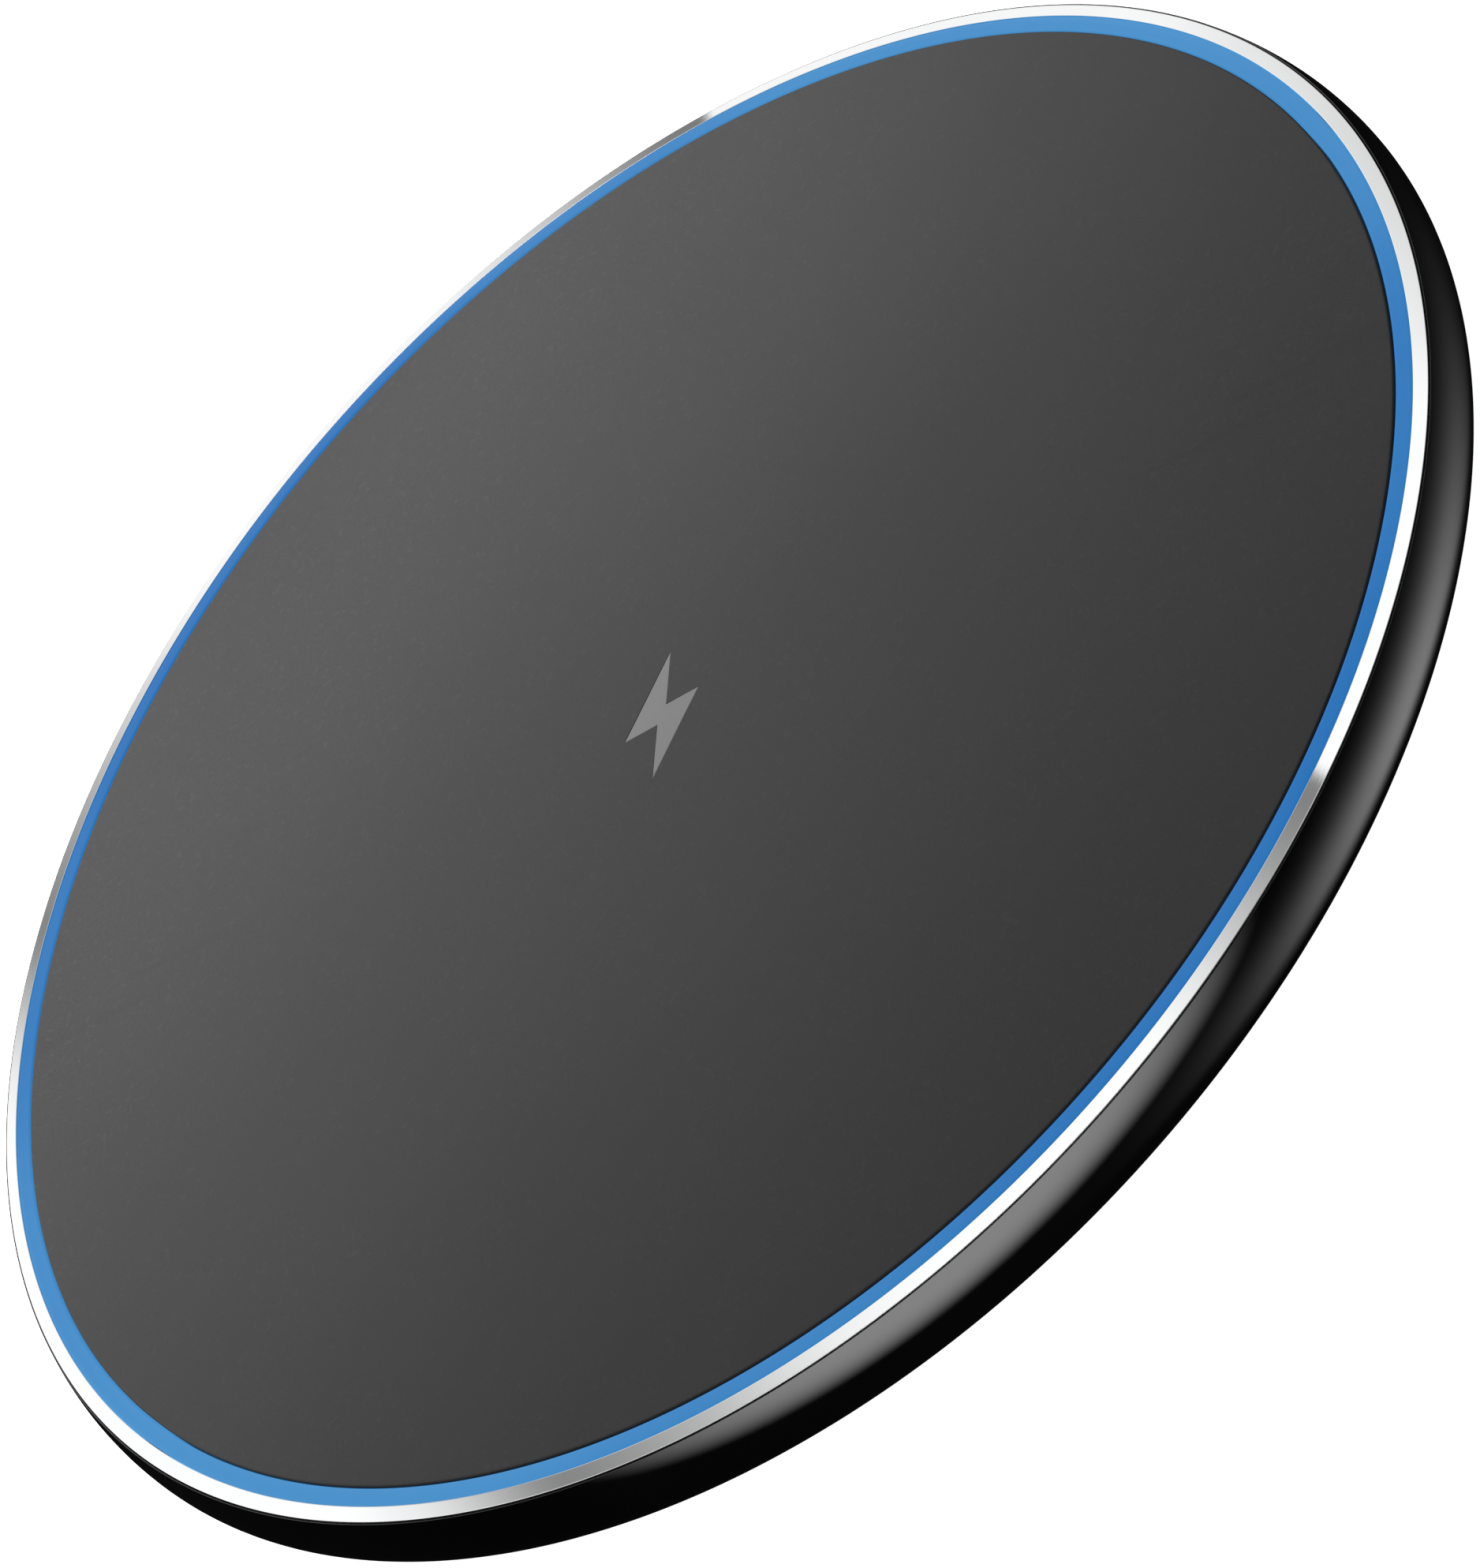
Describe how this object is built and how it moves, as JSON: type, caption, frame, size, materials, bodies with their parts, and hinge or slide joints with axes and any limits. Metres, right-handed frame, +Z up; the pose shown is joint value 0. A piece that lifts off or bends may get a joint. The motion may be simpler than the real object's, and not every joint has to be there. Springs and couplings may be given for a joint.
{
  "type": "wireless charging pad",
  "caption": "Slim round wireless charging pad: flat panel in a lit ring and a bright trim ring, rounded black side, socket at the back, coil and board inside.",
  "frame": {"origin": "middle of the plane that the foot ring stands on, on the pad's own axis", "axes": "+Z up out of the charging surface, +Y towards the back, where the socket is"},
  "size_m": [0.1, 0.0999, 0.0082],
  "materials": {
    "shell_black": "polished black moulding",
    "base_black": "fine spark-eroded texture",
    "silicone_black": "matt silicone",
    "screw_steel": "plain steel",
    "panel_grey": "satin soft-touch grey",
    "mark_grey": "printed grey",
    "light_blue": "translucent blue, lit from below",
    "bright_trim": "diamond-turned and polished",
    "tape_black": "acrylic foam tape",
    "carrier_white": "natural moulding",
    "ferrite_grey": "sintered ferrite",
    "tape_amber": "adhesive film",
    "litz_copper": "enamelled copper strands",
    "sleeve_red": "sleeving",
    "solder": "bright solder",
    "bead_black": "glazed bead",
    "reflector_white": "white moulding",
    "board_green": "solder mask",
    "led_clear": "clear lens",
    "chip_black": "moulding compound",
    "ceramic_tan": "ceramic",
    "inductor_grey": "pressed powder",
    "socket_steel": "stamped stainless",
    "socket_black": "glass-filled moulding",
    "contact_gold": "gold flash"
  },
  "bodies": {
    "root": {"outer_shell": "shell_black", "base_plate": "base_black", "foot_ring": "silicone_black", "base_screws": "screw_steel", "top_panel": "panel_grey", "charge_mark": "mark_grey", "light_ring": "light_blue", "trim_ring": "bright_trim", "panel_tape": "tape_black", "coil_carrier": "carrier_white", "ferrite_sheet": "ferrite_grey", "coil_tape": "tape_amber", "transmit_coil": "litz_copper", "coil_leads": "sleeve_red", "coil_solder": "solder", "thermistor": "bead_black", "light_reflector": "reflector_white", "main_board": "board_green", "ring_leds": "led_clear", "controller_chip": "chip_black", "bridge_chips": "chip_black", "protocol_chip": "chip_black", "resonance_capacitors": "ceramic_tan", "power_inductor": "inductor_grey", "input_capacitors": "ceramic_tan", "sense_resistor": "chip_black", "small_passives": "ceramic_tan", "usb_shell": "socket_steel", "usb_tongue": "socket_black", "usb_contacts": "contact_gold"}
  },
  "joints": []
}
